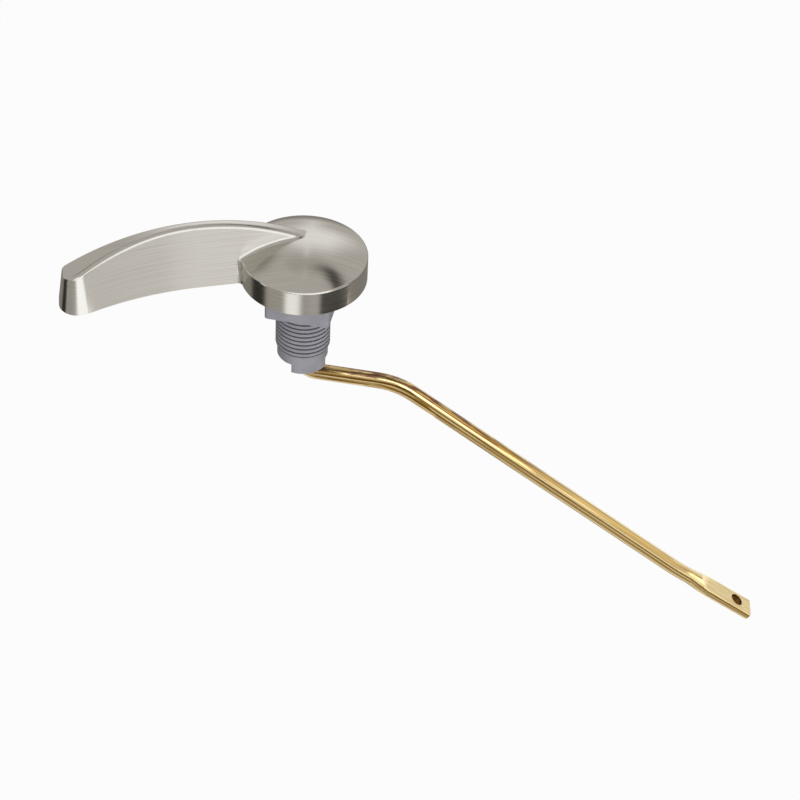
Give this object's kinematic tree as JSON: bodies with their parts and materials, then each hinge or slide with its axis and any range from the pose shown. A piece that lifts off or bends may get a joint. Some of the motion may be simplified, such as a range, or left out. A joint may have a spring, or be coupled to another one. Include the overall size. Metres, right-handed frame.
{
  "type": "cistern lever",
  "caption": "Cistern trip lever: curved handle blending into a domed hub, square-shouldered bushing for the tank wall, and a bent arm whose flat drilled end lifts the flush chain.",
  "frame": {"origin": "centre of the bushing's square key in the plane of its seat on the outside of the tank wall", "axes": "+Z out of the tank along the bushing, X and Y along the sides of the square shoulder; at rest the lever points towards -X and the arm towards +X, both turned 9.5 degrees about +Z"},
  "size_m": [0.2076, 0.0609, 0.1468],
  "materials": {
    "brushed_nickel": "satin, brushed along the lever",
    "grey_plastic": "moulded satin",
    "brass_rod": "drawn bright, with brown tarnish along its length"
  },
  "bodies": {
    "bushing": {"tank_bushing": "grey_plastic"},
    "lever": {"lever_handle": "brushed_nickel", "trip_arm": "brass_rod"}
  },
  "joints": [
    {"name": "lever_turn", "type": "hinge", "parent": "bushing", "child": "lever", "pos_m": [0, 0, 0], "axis": [0, 0, 1], "range_deg": [-9.5, 35.5]}
  ]
}
